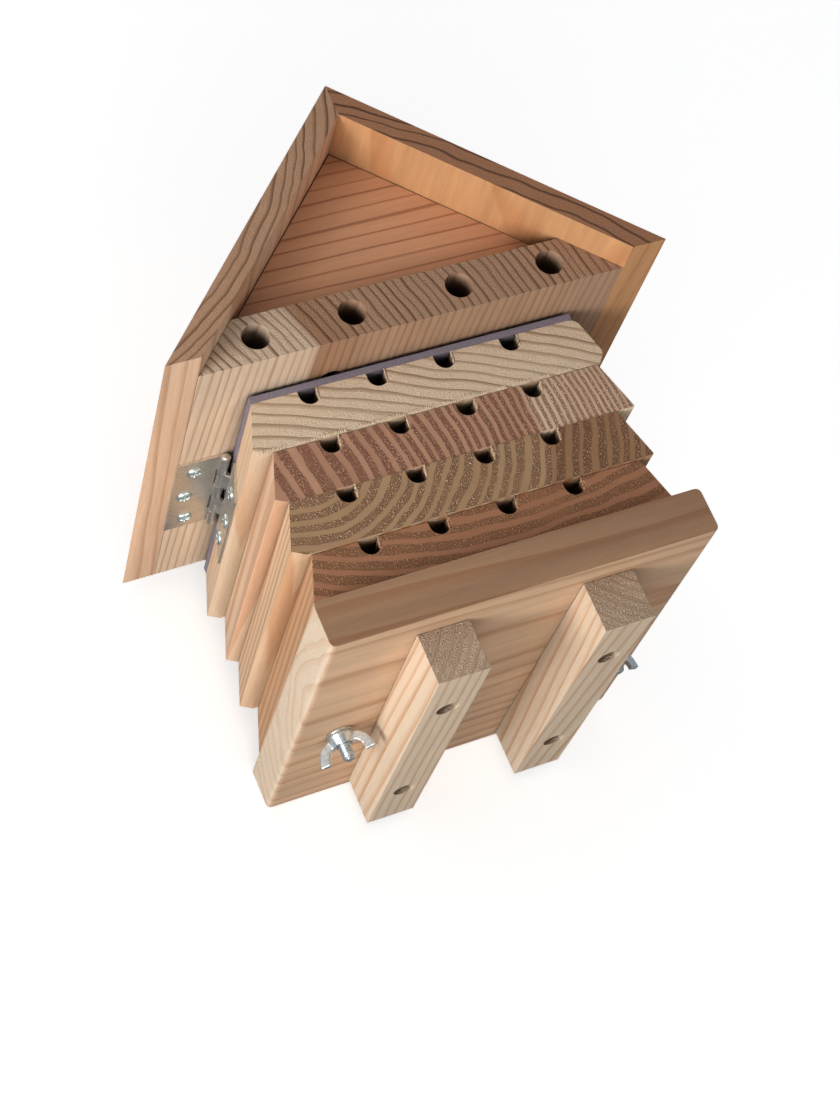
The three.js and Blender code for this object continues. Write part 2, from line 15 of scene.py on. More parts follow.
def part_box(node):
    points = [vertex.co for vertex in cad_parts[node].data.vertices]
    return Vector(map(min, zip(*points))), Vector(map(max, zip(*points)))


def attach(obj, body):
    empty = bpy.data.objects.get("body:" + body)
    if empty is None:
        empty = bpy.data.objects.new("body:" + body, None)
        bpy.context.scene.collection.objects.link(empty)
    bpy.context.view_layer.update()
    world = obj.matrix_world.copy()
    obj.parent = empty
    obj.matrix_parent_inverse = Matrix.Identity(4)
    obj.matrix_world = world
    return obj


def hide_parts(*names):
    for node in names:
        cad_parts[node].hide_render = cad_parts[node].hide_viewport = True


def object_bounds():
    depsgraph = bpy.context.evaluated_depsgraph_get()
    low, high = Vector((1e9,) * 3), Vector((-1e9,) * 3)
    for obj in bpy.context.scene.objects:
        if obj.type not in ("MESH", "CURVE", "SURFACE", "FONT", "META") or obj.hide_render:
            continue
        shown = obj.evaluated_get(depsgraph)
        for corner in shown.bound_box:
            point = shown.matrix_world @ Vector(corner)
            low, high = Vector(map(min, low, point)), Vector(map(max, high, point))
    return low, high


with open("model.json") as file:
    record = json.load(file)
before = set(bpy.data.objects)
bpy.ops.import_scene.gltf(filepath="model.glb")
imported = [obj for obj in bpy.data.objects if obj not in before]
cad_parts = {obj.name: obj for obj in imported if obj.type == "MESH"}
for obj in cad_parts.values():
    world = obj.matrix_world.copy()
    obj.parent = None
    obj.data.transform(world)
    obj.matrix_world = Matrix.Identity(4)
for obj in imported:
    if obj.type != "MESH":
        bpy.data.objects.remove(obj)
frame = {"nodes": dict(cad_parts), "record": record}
cad_low, cad_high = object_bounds()

MM = 0.001
MM_PER_METRE = 1000.0
NODES = frame["nodes"]
RECORD = frame["record"]
BODY_OF = {
    node: body
    for body, members in RECORD["behaviour"]["bodies"].items()
    for node in members
}
OPENINGS = {opening["name"]: opening["box_m"] for opening in RECORD["physics"]["openings"]}

# ---------- colours ----------


def linear(*srgb):
    """An 8-bit sRGB colour as the linear colour that a shader takes."""
    shares = [value / 255 for value in srgb]
    return tuple(s / 12.92 if s <= 0.04045 else ((s + 0.055) / 1.055) ** 2.4 for s in shares) + (1.0,)


def scaled(colour, by):
    return tuple(channel * by for channel in colour[:3]) + (1.0,)


# ---------- shader graphs ----------

OPENNESS_SAMPLES = 4   # rays that feel for walls round each point


class Graph:
    """Adds nodes to one material; an input takes a socket or a plain value."""

    def __init__(self, name):
        self.material = bpy.data.materials.new(name)
        self.material.use_nodes = True
        self.nodes = self.material.node_tree.nodes
        self.links = self.material.node_tree.links
        self.nodes.clear()

    def feed(self, socket, value):
        if isinstance(value, bpy.types.NodeSocket):
            self.links.new(value, socket)
        else:
            socket.default_value = value

    def add(self, kind, inputs, output=0, **settings):
        node = self.nodes.new(kind)
        for name, value in settings.items():
            setattr(node, name, value)
        for key, value in inputs.items():
            self.feed(node.inputs[key], value)
        return node.outputs[output]

    def math(self, operation, *values):
        return self.add("ShaderNodeMath", dict(enumerate(values)), operation=operation)

    def plus(self, a, b):
        return self.math("ADD", a, b)

    def minus(self, a, b):
        return self.math("SUBTRACT", a, b)

    def times(self, a, b):
        return self.math("MULTIPLY", a, b)

    def over(self, a, b):
        return self.math("DIVIDE", a, b)

    def vector_math(self, operation, *values):
        return self.add("ShaderNodeVectorMath", dict(enumerate(values)), operation=operation)

    def scale(self, vector, by):
        return self.add("ShaderNodeVectorMath", {0: vector, "Scale": by}, operation="SCALE")

    def vector(self, x, y, z):
        return self.add("ShaderNodeCombineXYZ", {0: x, 1: y, 2: z})

    def parts(self, vector):
        node = self.nodes.new("ShaderNodeSeparateXYZ")
        self.feed(node.inputs[0], vector)
        return node.outputs[0], node.outputs[1], node.outputs[2]

    def step(self, value, start, end, low=0.0, high=1.0):
        """A smooth step of value from low to high between start and end."""
        inputs = {"Value": value, "From Min": start, "From Max": end, "To Min": low, "To Max": high}
        return self.add("ShaderNodeMapRange", inputs, interpolation_type="SMOOTHSTEP")

    def mix(self, share, a, b, blend="MIX"):
        inputs = {0: share, 6: a, 7: b}
        return self.add("ShaderNodeMix", inputs, 2, data_type="RGBA", blend_type=blend)

    def noise(self, vector, scale, detail=2.0, roughness=0.5, output=0, distortion=0.0):
        inputs = {
            "Vector": vector, "Scale": scale, "Detail": detail, "Roughness": roughness,
            "Distortion": distortion,
        }
        return self.add("ShaderNodeTexNoise", inputs, output)

    def sway(self, vector, scale, detail=2.0, roughness=0.5):
        """Three noises in one vector, each about 0."""
        noises = self.noise(vector, scale, detail, roughness, output=1)
        return self.vector_math("SUBTRACT", noises, (0.5, 0.5, 0.5))

    def cells(self, place, scale, output="Distance"):
        """Random cells over a plane: the distance from each cell's middle, or its random colour."""
        inputs = {"Vector": place, "Scale": scale, "Randomness": 0.9}
        return self.add("ShaderNodeTexVoronoi", inputs, output, voronoi_dimensions="2D")

    def openness(self, distance_mm):
        """1 on an open face, falling to 0 deep in a hole, a groove or a seam."""
        inputs = {"Distance": distance_mm * MM}
        return self.add("ShaderNodeAmbientOcclusion", inputs, "AO", samples=OPENNESS_SAMPLES)

    def chance(self, value):
        """A fixed random number for each whole value."""
        return self.add("ShaderNodeTexWhiteNoise", {"W": value}, 0, noise_dimensions="1D")

    def place(self):
        """Where a point is on its piece, in millimetres."""
        coordinates = self.add("ShaderNodeTexCoord", {}, "Object")
        return self.vector_math("MULTIPLY", coordinates, (MM_PER_METRE,) * 3)

    def facing(self):
        """The way a face looks."""
        return self.add("ShaderNodeTexCoord", {}, "Normal")

    def bump(self, height_mm):
        return self.add("ShaderNodeBump", {"Strength": 1.0, "Distance": MM, "Height": height_mm})

    def finish(self, colour, roughness, normal, metallic=0.0, specular=0.5):
        inputs = {
            "Base Color": colour, "Roughness": roughness, "Normal": normal, "Metallic": metallic,
            "Specular IOR Level": specular,
        }
        self.add_output(self.add("ShaderNodeBsdfPrincipled", inputs))
        return self.material

    def add_output(self, shader):
        output = self.nodes.new("ShaderNodeOutputMaterial")
        self.links.new(shader, output.inputs["Surface"])


# ---------- wood ----------

# How one board was sawn and coloured: lengths in millimetres, colours in 8-bit sRGB.
WOOD_DEFAULTS = {
    "grain": "Y",          # the axis the grain runs along
    "heart": (0, 300),     # the tree's heart from the board's middle, in the two axes across the grain
    "ring": 4.0,           # ring spacing at the board's middle
    "tighten": 0.0,        # rings more in each millimetre, for each millimetre further from the heart
    "waver": 1.6,          # how far rings wander
    "uneven": 1.4,         # how much the ring spacing changes from year to year
    "lean": 0.03,          # how far the heart drifts across for each length along the grain
    "late_from": 0.5,      # share of a ring at which the dark late wood starts
    "late_rise": 0.4,      # share of a ring over which it comes in
    "late_depth": 0.8,     # how strongly the late wood shows along the grain
    "early": (222, 188, 150),      # early and late wood on the faces along the grain
    "late": (186, 132, 90),
    "end_early": (205, 172, 135),  # the same on the sawn ends
    "end_late": (150, 112, 80),
    "torn": 0.5,           # how torn the sawn ends are between the late rings
    "streak": 0.10,        # tint variation along the grain
    "turn_at": None,       # distance from the heart at which the wood changes tone
    "turn_fade": 30,       # how far beyond that the change falls back to its lasting strength
    "turn_tint": (1, 1, 1),
    "front_shade_tint": (1, 1, 1),    # painted shade tint that darkens the front face of a board whose grain runs from side to side
    "seed": 0.0,
}
SEED_STEP = 37.0       # sets the patterns of two boards apart
END_FACING = (0.45, 0.75)      # how squarely a face looks along the grain as end grain comes in
FRONT_SHADE_FACING = (0.3, 0.75)     # how squarely it looks to the front as the painted front shade comes in
TURN_BLUR = 2.5        # half the width of the line where the tone changes
TURN_LASTS = 0.78      # the share of the change that is left after the fade
WEAR = 0.22            # how far worn edges are bleached
BLEACHED = 1.05        # worn edges and torn fibres, against the early wood
PAINTED_HOLE_SHADE = 0.06        # painted shade deep in a hole, a groove or a seam, against the late wood of the ends
ROUGHNESS = 0.62
END_ROUGHER = 0.2      # how much rougher the sawn ends are

# Painted shade: where near walls keep the ambient light out, colours darken in holes, grooves and the
# seams between pieces.
SHADE_REACH = 16.0     # how near the walls have to be to keep the light out, in millimetres
SHADE_RANGE = (0.34, 0.12)     # how open a point is where it starts to darken, and where it is dark


def shaded(g, colour, dark):
    """The colour, turning to the dark one as painted shade deep in a hole, a groove or a seam."""
    return g.mix(g.step(g.openness(SHADE_REACH), *SHADE_RANGE), colour, dark)


def tint(g, share, colour, by):
    """The colour times a tint, as far as the share goes."""
    return g.mix(share, colour, tuple(by) + (1.0,), "MULTIPLY")


def wood(name, node, **look):
    """Softwood as a solid pattern: rings round a heart line, fibres along the grain, torn sawn ends."""
    look = {**WOOD_DEFAULTS, **look}
    g = Graph(name)
    low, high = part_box(node)
    middle = (low + high) / 2 * MM_PER_METRE
    x, y, z = g.parts(g.place())
    facing_x, facing_y, _ = g.parts(g.facing())
    if look["grain"] == "Y":
        across, along, facing = x, y, facing_y
        across_middle, along_middle = middle.x, middle.y
    else:
        across, along, facing = y, x, facing_x
        across_middle, along_middle = middle.y, middle.x
    across = g.minus(across, across_middle)
    along = g.minus(along, along_middle)
    up = g.minus(z, middle.z)
    seed = look["seed"] * SEED_STEP

    late, radius = ring_pattern(g, look, across, up, along, seed)
    end = g.step(g.math("ABSOLUTE", facing), *END_FACING)
    long_colour, long_height = long_grain(g, look, late, across, up, along, seed)
    end_colour, end_height = end_grain(g, look, late, across, up, along, seed)
    edge = g.add("ShaderNodeAttribute", {}, "Fac", attribute_name="edge")
    colour = g.mix(end, long_colour, end_colour)
    if look["turn_at"]:
        turned = g.step(radius, look["turn_at"] - TURN_BLUR, look["turn_at"] + TURN_BLUR)
        fade = g.step(radius, look["turn_at"], look["turn_at"] + look["turn_fade"], 1.0, TURN_LASTS)
        colour = tint(g, g.times(turned, fade), colour, look["turn_tint"])
    # painted shade: the front face of a board whose grain runs from side to side is darkened by a tint
    if look["grain"] == "X":
        front = g.step(g.times(facing_y, -1), *FRONT_SHADE_FACING)
        colour = tint(g, front, colour, look["front_shade_tint"])
    colour = g.mix(g.times(edge, WEAR), colour, scaled(linear(*look["early"]), BLEACHED))
    # painted shade deep in holes, grooves and the seams between pieces
    colour = shaded(g, colour, scaled(linear(*look["end_late"]), PAINTED_HOLE_SHADE))
    height = g.mix(end, g.vector(long_height, 0, 0), g.vector(end_height, 0, 0))
    roughness = g.plus(ROUGHNESS, g.times(end, END_ROUGHER))
    return g.finish(colour, roughness, g.bump(g.parts(height)[0]), specular=0.3)


# Ring shapes: the sizes of their slow wander and of their fine ripples, across and along the grain.
WANDER = (34, 190)
RIPPLE = (7, 60)
YEARS = 11             # the width of a run of fast or slow years
HEART_WANDER = 4       # how far the heart wanders, for each millimetre of waver
RIPPLE_SHARE = 0.55    # the same for the ripples
RING_WANDER = 1.2      # how many rings wider or narrower the wander makes the count
LATE_END = 0.93        # share of a ring at which the late wood starts to stop
PALEST_RING = 0.65     # the palest late ring against the darkest


def stretched(g, across, up, along, size):
    """A place for noise of one size across the grain and another along it."""
    return g.vector(g.over(across, size[0]), g.over(up, size[0]), g.over(along, size[1]))


def ring_pattern(g, look, across, up, along, seed):
    """Late wood from 0 to 1, and the distance from the heart."""
    slow = g.vector_math("ADD", stretched(g, across, up, along, WANDER), (seed, 0, 0))
    wander_across, wander_up, wander_ring = g.parts(g.sway(slow, 1.0, 2.0, 0.45))
    fine = g.noise(stretched(g, across, up, along, RIPPLE), 1.0, 2.0)
    ripple = g.times(g.minus(fine, 0.5), look["waver"] * RIPPLE_SHARE)
    drift = g.times(along, look["lean"])
    a = g.minus(g.plus(across, drift), look["heart"][0])
    a = g.plus(a, g.times(wander_across, look["waver"] * HEART_WANDER))
    b = g.minus(g.plus(up, drift), look["heart"][1])
    b = g.plus(b, g.times(wander_up, look["waver"] * HEART_WANDER))
    radius = g.math("SQRT", g.plus(g.times(a, a), g.times(b, b)))
    radius = g.plus(radius, ripple)
    beyond = g.minus(radius, math.hypot(*look["heart"]))
    count = g.over(beyond, look["ring"])
    if look["tighten"]:
        count = g.plus(count, g.times(g.times(beyond, beyond), look["tighten"] / 2))
    count = g.plus(count, g.times(wander_ring, RING_WANDER))
    years = g.noise(g.vector(g.over(radius, YEARS), seed, 0), 1.0, 1.0)
    count = g.plus(count, g.times(years, look["uneven"]))
    share = g.math("FRACT", count)
    chance = g.chance(g.plus(g.math("FLOOR", count), seed))
    rise = g.step(share, look["late_from"], look["late_from"] + look["late_rise"])
    fall = g.step(share, LATE_END, 1.0, 1.0, 0.0)
    strength = g.plus(PALEST_RING, g.times(chance, 1 - PALEST_RING))
    return g.times(g.times(rise, fall), strength), radius


# The faces along the grain: scales are repeats for each millimetre, heights are in millimetres.
FIBRES = 2.6
FIBRE_STRETCH = 0.035  # how much more slowly fibres change along the grain than across it
STREAKS = 0.16
STREAK_STRETCH = 0.007
FIBRE_CONTRAST = 0.34
STREAK_CONTRAST = 3.2
FIBRE_HEIGHT = 0.05
LATE_RIDGE = 0.03


def long_grain(g, look, late, across, up, along, seed):
    """Colour and height (mm) of the faces along the grain."""
    fibres = g.noise(g.vector(across, up, g.times(along, FIBRE_STRETCH)), FIBRES, 3.0, 0.6)
    streak_place = g.vector(
        g.times(across, STREAKS), g.times(up, STREAKS), g.plus(g.times(along, STREAK_STRETCH), seed),
    )
    streaks = g.noise(streak_place, 1.0, 2.0, 0.55)
    colour = g.mix(g.times(late, look["late_depth"]), linear(*look["early"]), linear(*look["late"]))
    shade = g.plus(1.0, g.times(g.minus(fibres, 0.5), FIBRE_CONTRAST))
    shade = g.plus(shade, g.times(g.minus(streaks, 0.5), look["streak"] * STREAK_CONTRAST))
    colour = g.scale(colour, shade)
    height = g.plus(g.times(fibres, FIBRE_HEIGHT), g.times(late, LATE_RIDGE))
    return colour, height


# The sawn ends, in the same units.
TUFTS = 1.15           # tufts of torn early wood
TUFT_WARP = 1.2        # how far their cells are pulled out of shape
TUFT_REACH = (0.2, 0.36)       # the smallest tuft's size in its cell, and how much larger others are
TEARING = 0.07         # areas that the saw tore more or less
SPECKLE = 2.4
SAW_MARKS = (2.6, 0.22)        # scratches, across the board and up it
SOFT = (0.35, 0.65)    # how far from late wood it is where it starts to tear, and where it tears fully
PIT_COLOUR = 0.3       # the floor of a pit, against the early wood
TUFT_HEIGHT = 0.55
LATE_HEIGHT = 0.12
SPECKLE_HEIGHT = 0.05


def end_grain(g, look, late, across, up, along, seed):
    """Colour and height (mm) of the sawn ends: smooth late wood, early wood torn into tufts and pits."""
    place = g.vector(across, up, g.plus(g.times(along, 0.2), seed))
    tuft_place = g.vector_math("ADD", place, g.scale(g.sway(place, 0.7, 1.0), TUFT_WARP))
    middle = g.cells(tuft_place, TUFTS)
    size = g.parts(g.cells(tuft_place, TUFTS, "Color"))[0]
    patches = g.noise(place, TEARING, 2.0, 0.5)
    grain = g.noise(place, SPECKLE, 3.0, 0.6)
    soft = g.minus(1.0, late)
    torn = g.times(g.step(soft, *SOFT), g.step(patches, 0.3, 0.5, 0.5, 1.0))
    torn = g.times(torn, look["torn"])
    reach = g.plus(TUFT_REACH[0], g.times(size, TUFT_REACH[1]))
    speck = g.times(g.step(middle, reach, 0.04), torn)
    pits = g.times(torn, g.step(grain, 0.35, 0.62, 0.9, 0.25))
    colour = g.mix(late, linear(*look["end_early"]), linear(*look["end_late"]))
    colour = g.mix(g.times(pits, 0.85), colour, scaled(linear(*look["end_early"]), PIT_COLOUR))
    colour = g.mix(g.times(speck, 0.9), colour, scaled(linear(*look["early"]), BLEACHED))
    mottle = g.plus(g.times(patches, 0.22), g.times(grain, 0.3))
    colour = g.scale(colour, g.plus(0.74, mottle))
    scratch_place = g.vector(g.times(across, SAW_MARKS[0]), g.times(up, SAW_MARKS[1]), seed)
    scratches = g.noise(scratch_place, 1.0, 3.0, 0.6)
    colour = g.scale(colour, g.plus(0.9, g.times(scratches, 0.2)))
    height = g.times(speck, TUFT_HEIGHT)
    height = g.plus(height, g.times(late, LATE_HEIGHT))
    height = g.plus(height, g.times(grain, SPECKLE_HEIGHT))
    return colour, height


# ---------- fibre sheet and metal ----------


def sheet_material():
    """Grey violet fibre sheet with a felted face and a rough cut edge."""
    g = Graph("fibre_sheet")
    place = g.place()
    felt = g.noise(place, 1.4, 4.0, 0.65)
    clouds = g.noise(place, 0.08, 2.0)
    _, _, facing_z = g.parts(g.facing())
    edge = g.step(g.math("ABSOLUTE", facing_z), 0.7, 0.3)
    colour = g.mix(g.step(felt, 0.3, 0.7), linear(104, 96, 104), linear(142, 132, 142))
    colour = g.mix(g.times(g.step(clouds, 0.35, 0.65), 0.35), colour, linear(128, 116, 122))
    colour = g.mix(g.times(edge, 0.35), colour, linear(150, 142, 156))
    # painted shade: the sheet turns near black in seams and deep corners
    colour = shaded(g, colour, linear(24, 20, 22))
    return g.finish(colour, 0.85, g.bump(g.times(felt, 0.16)), specular=0.2)


def zinc(name, bright, dull, tarnish, roughness, dirt):
    """Zinc plate: a mottled passivated surface, dull patches and dirt."""
    g = Graph(name)
    place = g.place()
    spangle = g.noise(place, 0.9, 3.0, 0.55)
    grain = g.noise(place, 6.0, 2.0, 0.6)
    patches = g.noise(place, 0.22, 3.0, 0.6, distortion=0.6)
    colour = g.mix(g.step(spangle, 0.35, 0.65), linear(*dull), linear(*bright))
    share = g.times(g.step(patches, 0.45, 0.7), dirt)
    colour = g.mix(share, colour, linear(*tarnish))
    gloss = g.plus(roughness, g.times(spangle, 0.16))
    gloss = g.plus(gloss, g.times(share, 0.25))
    height = g.plus(g.times(grain, 0.0012), g.times(spangle, 0.006))
    metallic = g.minus(1.0, g.times(share, 0.35))
    return g.finish(colour, gloss, g.bump(height), metallic=metallic)


# ---------- mesh work ----------

SAME_PLACE = 2e-7      # corners nearer than this are one corner
FLAT = math.radians(0.5)       # faces that meet at less than this are one face


def clean_mesh(node):
    """A CAD node's solid with shared corners, its flat faces whole again."""
    bm = bmesh.new()
    bm.from_mesh(NODES[node].data)
    bmesh.ops.remove_doubles(bm, verts=bm.verts, dist=SAME_PLACE)
    bmesh.ops.dissolve_limit(bm, angle_limit=FLAT, verts=bm.verts, edges=bm.edges)
    return bm


def sharp_edges(bm, degrees):
    limit = math.radians(degrees)
    return [edge for edge in bm.edges if edge.is_manifold and edge.calc_face_angle() > limit]


def ease_edges(bm, width, segments, degrees=35):
    """Rounds every edge sharper than the given angle and marks the new strips as worn edge."""
    mark = bm.faces.layers.float.get("edge") or bm.faces.layers.float.new("edge")
    made = bmesh.ops.bevel(
        bm, geom=sharp_edges(bm, degrees), offset=width, offset_type="OFFSET", segments=segments,
        profile=0.5, affect="EDGES", clamp_overlap=True,
    )
    for face in made["faces"]:
        face[mark] = 1.0
    return bm


def piece_from(bm, name, material, smooth_degrees=50):
    """An object from a mesh in the making: one material, and shaded smooth up to the given angle."""
    mesh = bpy.data.meshes.new(name)
    bmesh.ops.recalc_face_normals(bm, faces=bm.faces)
    bm.to_mesh(mesh)
    bm.free()
    mesh.polygons.foreach_set("use_smooth", [True] * len(mesh.polygons))
    mesh.set_sharp_from_angle(angle=math.radians(smooth_degrees))
    piece = bpy.data.objects.new(name, mesh)
    bpy.context.scene.collection.objects.link(piece)
    mesh.materials.append(material)
    weighted = piece.modifiers.new("even_faces", "WEIGHTED_NORMAL")
    weighted.keep_sharp = True
    return piece


def stand_in(bm, node, material, smooth_degrees=50):
    """A piece that is shown in place of one CAD node and rides on its body."""
    piece = piece_from(bm, f"{node}_shape", material, smooth_degrees)
    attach(piece, BODY_OF[node])
    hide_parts(node)
    return piece


def board(node, material, edge_width=0.5, segments=2):
    """A CAD board with its edges eased by a width in millimetres."""
    bm = ease_edges(clean_mesh(node), edge_width * MM, segments)
    return stand_in(bm, node, material)


# ---------- the boards ----------

TRAY_WOODS = {
    "tray_1": dict(
        heart=(-290, -660), ring=4.1, waver=0.6, late_from=0.5, late_rise=0.44, late_depth=0.75,
        torn=0.25, early=(224, 198, 168), late=(206, 160, 118),
        end_early=(223, 199, 170), end_late=(148, 118, 90), seed=1,
    ),
    "tray_2": dict(
        heart=(-160, -20), ring=3.5, tighten=0.0025, waver=1.1, uneven=1.3, late_from=0.42,
        late_rise=0.15, torn=0.6, early=(232, 198, 166), late=(205, 146, 104),
        end_early=(146, 98, 74), end_late=(184, 140, 112),
        turn_at=190, turn_tint=(1.42, 1.85, 2.1), seed=2,
    ),
    "tray_3": dict(
        heart=(-58, 32), ring=4.8, waver=1.9, uneven=1.2, late_from=0.45, late_rise=0.14,
        torn=1.0, early=(232, 198, 162), late=(202, 142, 96),
        end_early=(160, 120, 86), end_late=(168, 136, 102),
        turn_at=94, turn_tint=(0.76, 0.66, 0.63), seed=3,
    ),
    "tray_4": dict(
        heart=(10, 250), ring=5.4, waver=1.4, uneven=1.3, late_from=0.45, late_rise=0.15,
        torn=0.85, early=(206, 164, 126), late=(186, 126, 82),
        end_early=(157, 107, 74), end_late=(166, 116, 86), seed=4,
    ),
}
# The base's front face is darkened by a painted shade tint.
BASE_WOOD = dict(
    grain="X", heart=(-30, -75), ring=7.0, waver=2.2, lean=0.02, late_depth=0.7, torn=0.2, streak=0.16,
    early=(214, 178, 144), late=(182, 128, 92), end_early=(226, 204, 178), end_late=(208, 176, 146),
    front_shade_tint=(0.5, 0.43, 0.38), seed=5,
)
BATTEN_WOOD = dict(
    ring=3.4, waver=0.8, late_from=0.5, torn=0.9, early=(224, 202, 176), late=(200, 150, 106),
    end_early=(198, 170, 144), end_late=(152, 126, 100),
)
BATTEN_SIDES = {
    "left": dict(heart=(-60, 40), seed=5.4),
    "right": dict(heart=(40, 45), seed=6.4),
}
BLOCK_WOOD = dict(
    heart=(-220, -70), ring=3.1, waver=1.0, late_from=0.5, late_rise=0.42, torn=0.35,
    early=(220, 196, 170), late=(186, 144, 110), end_early=(212, 184, 157), end_late=(114, 86, 64),
    turn_at=190, turn_fade=24, turn_tint=(0.55, 0.39, 0.30), seed=8,
)
ROOF_WOOD = dict(waver=1.6, late_depth=0.6, late=(186, 124, 78), torn=0.15, streak=0.22)
ROOF_SIDES = {
    "left": dict(
        heart=(-110, 80), ring=3.3, late_from=0.55, late_rise=0.36, early=(226, 190, 158),
        end_early=(178, 138, 108), end_late=(110, 76, 54), seed=10.1,
    ),
    "right": dict(
        heart=(-190, -230), ring=4.4, late_from=0.7, late_rise=0.18, early=(202, 150, 104),
        end_early=(160, 112, 82), end_late=(80, 52, 36), seed=7.1,
    ),
}
GABLE_WOOD = dict(
    grain="X", heart=(30, -150), ring=5.2, waver=1.0, lean=0.012, late_from=0.74, late_rise=0.12,
    late_depth=0.68, torn=0.5, early=(206, 150, 112), late=(144, 86, 58), seed=11,
)

# A torn fibre's shape: how thick it is at each share of its length.
FIBRE_TAPER = ((0, 1.0), (0.4, 0.85), (0.75, 0.55), (1, 0.12))
TUFT_SPACING = 5.5 * MM        # from one loose tuft on a torn edge to the next, about
TUFT_FROM = -0.12      # how low the noise may be where there are still fibres
SOUND_ENDS = (1.0 * MM, 11.0 * MM)     # the parts of the edge, left and right, that aren't torn
RIM_FIBRES = 16        # fibres on the rim of each groove
FIBRE_PALER = 14       # how much paler torn fibres are than the wood, in 8-bit steps


def splinter(bm, root, towards, bend, width):
    """One torn fibre: a closed, tapering, slightly bent rod with a square section."""
    side = Vector((width / 2, 0, 0))
    depth = towards.cross(side).normalized() * width / 2
    rings = []
    for share, thickness in FIBRE_TAPER:
        centre = root + towards * share + bend * share * share
        corners = (side + depth, side - depth, -side - depth, depth - side)
        rings.append([bm.verts.new(centre + corner * thickness) for corner in corners])
    for lower, upper in zip(rings, rings[1:]):
        for i in range(4):
            j = (i + 1) % 4
            bm.faces.new((lower[i], lower[j], upper[j], upper[i]))
    bm.faces.new(rings[0])
    bm.faces.new(rings[-1])


def torn_edge(bm, node, chance):
    """Fibres torn out along the bottom front edge of a tray, in loose tufts."""
    low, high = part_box(node)
    x = low.x + SOUND_ENDS[0]
    while x < high.x - SOUND_ENDS[1]:
        x += chance.uniform(0.4, 0.75) * MM
        tuft = noise.noise(Vector((x / TUFT_SPACING, 0, 7)))
        if tuft > TUFT_FROM:
            length = chance.uniform(0.9, 1.6) * (1 + 0.6 * tuft) * MM
            root = Vector((x, low.y + 0.12 * MM, low.z + 0.25 * MM))
            towards = Vector((chance.uniform(-0.16, 0.16), -0.28, 1)).normalized() * length
            bend = Vector((chance.uniform(-0.1, 0.1), -0.12, 0)) * MM
            splinter(bm, root, towards, bend, chance.uniform(0.3, 0.48) * MM)


def torn_rims(bm, node, chance):
    """Fibres torn out along the right rim of each groove in a tray's front end."""
    low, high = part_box(node)
    for name, (near, far) in OPENINGS.items():
        if not name.startswith(f"{node}_groove"):
            continue
        for _ in range(RIM_FIBRES):
            up = chance.uniform(0, 1)
            z = near[2] + (far[2] - near[2]) * up
            x = far[0] + (0.15 + 0.7 * up * up) * MM
            towards = Vector((chance.uniform(-0.5, 0.3), -0.55, chance.uniform(-0.2, 0.8)))
            length = chance.uniform(0.5, 0.9) * MM
            root = Vector((x, low.y + 0.1 * MM, z))
            bend = Vector((0, 0, 0.1 * MM))
            splinter(bm, root, towards.normalized() * length, bend, chance.uniform(0.24, 0.36) * MM)


def build_trays():
    for node, look in TRAY_WOODS.items():
        board(node, wood(f"{node}_softwood", node, **look))
        bm = bmesh.new()
        chance = random.Random(look["seed"])
        torn_rims(bm, node, chance)
        if node == "tray_1":
            torn_edge(bm, node, chance)
        pale = tuple(channel + FIBRE_PALER for channel in look["early"])
        fibre_look = {**look, "torn": 0, "end_early": pale, "end_late": pale, "turn_at": None}
        fibres = wood(f"{node}_fibre", node, **fibre_look)
        piece = piece_from(bm, f"{node}_torn_fibres", fibres, 30)
        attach(piece, BODY_OF[node])


def build_base():
    material = wood("base_softwood", "base_board", **BASE_WOOD)
    board("base_board", material, edge_width=1.0, segments=3)
    for side, look in BATTEN_SIDES.items():
        node = f"batten_{side}"
        material = wood(f"{node}_softwood", node, **BATTEN_WOOD, **look)
        board(node, material, edge_width=0.6)


def build_roof():
    board("roof_block", wood("block_softwood", "roof_block", **BLOCK_WOOD), edge_width=0.8)
    for side, look in ROOF_SIDES.items():
        node = f"roof_board_{side}"
        material = wood(f"{node}_softwood", node, **ROOF_WOOD, **look)
        board(node, material, edge_width=0.45)
    for end in ("front", "back"):
        node = f"gable_panel_{end}"
        board(node, wood(f"{node}_softwood", node, **GABLE_WOOD), edge_width=0.4)


def build_sheet():
    board("cover_sheet", sheet_material(), edge_width=0.25, segments=1)


# ---------- hardware ----------

METAL_EDGE = 32        # degrees from which a metal edge is eased


def hardware(node, material, width, segments=3):
    bm = ease_edges(clean_mesh(node), width * MM, segments, METAL_EDGE)
    return stand_in(bm, node, material)


def turned(bm, rows, around):
    """A closed skin through rows of points round Z: each row gives the (radius, height) at a turn."""
    rings = []
    for row in rows:
        ring = []
        for step in range(around):
            angle = 2 * math.pi * step / around
            radius, height = row(step / around)
            ring.append(bm.verts.new((radius * math.cos(angle), radius * math.sin(angle), height)))
        rings.append(ring)
    for lower, upper in zip(rings, rings[1:]):
        for step in range(around):
            after = (step + 1) % around
            bm.faces.new((lower[step], lower[after], upper[after], upper[step]))
    bm.faces.new(rings[0])
    bm.faces.new(rings[-1])
    return bm


def axis_of(node):
    """A screw's point, the direction from there to its head, and its rim's height and radius."""
    corners = [vertex.co.copy() for vertex in NODES[node].data.vertices]
    middle = sum(corners, Vector()) / len(corners)
    tip = max(corners, key=lambda corner: (corner - middle).length)
    direction = (middle - tip).normalized()
    heights = [(corner - tip).dot(direction) for corner in corners]
    spreads = [(corner - tip - direction * height).length for corner, height in zip(corners, heights)]
    radius, height = max(zip(spreads, heights))
    return tip, direction, height, radius


SCREW_RING = 40        # points round a screw
DOME_ROWS = 9
# Shares of the head's radius.
DOME_HEIGHT = 0.42
SHANK_RADIUS = 0.5
RECESS_LENGTH = 0.66   # half the length of each bar of the cross recess
RECESS_WIDTH = 0.2     # half its width
# Shares of the shank's radius.
SCREW_PITCH = 0.45
SCREW_CORE = 0.78
SCREW_POINT = 3        # the length of the tapered point


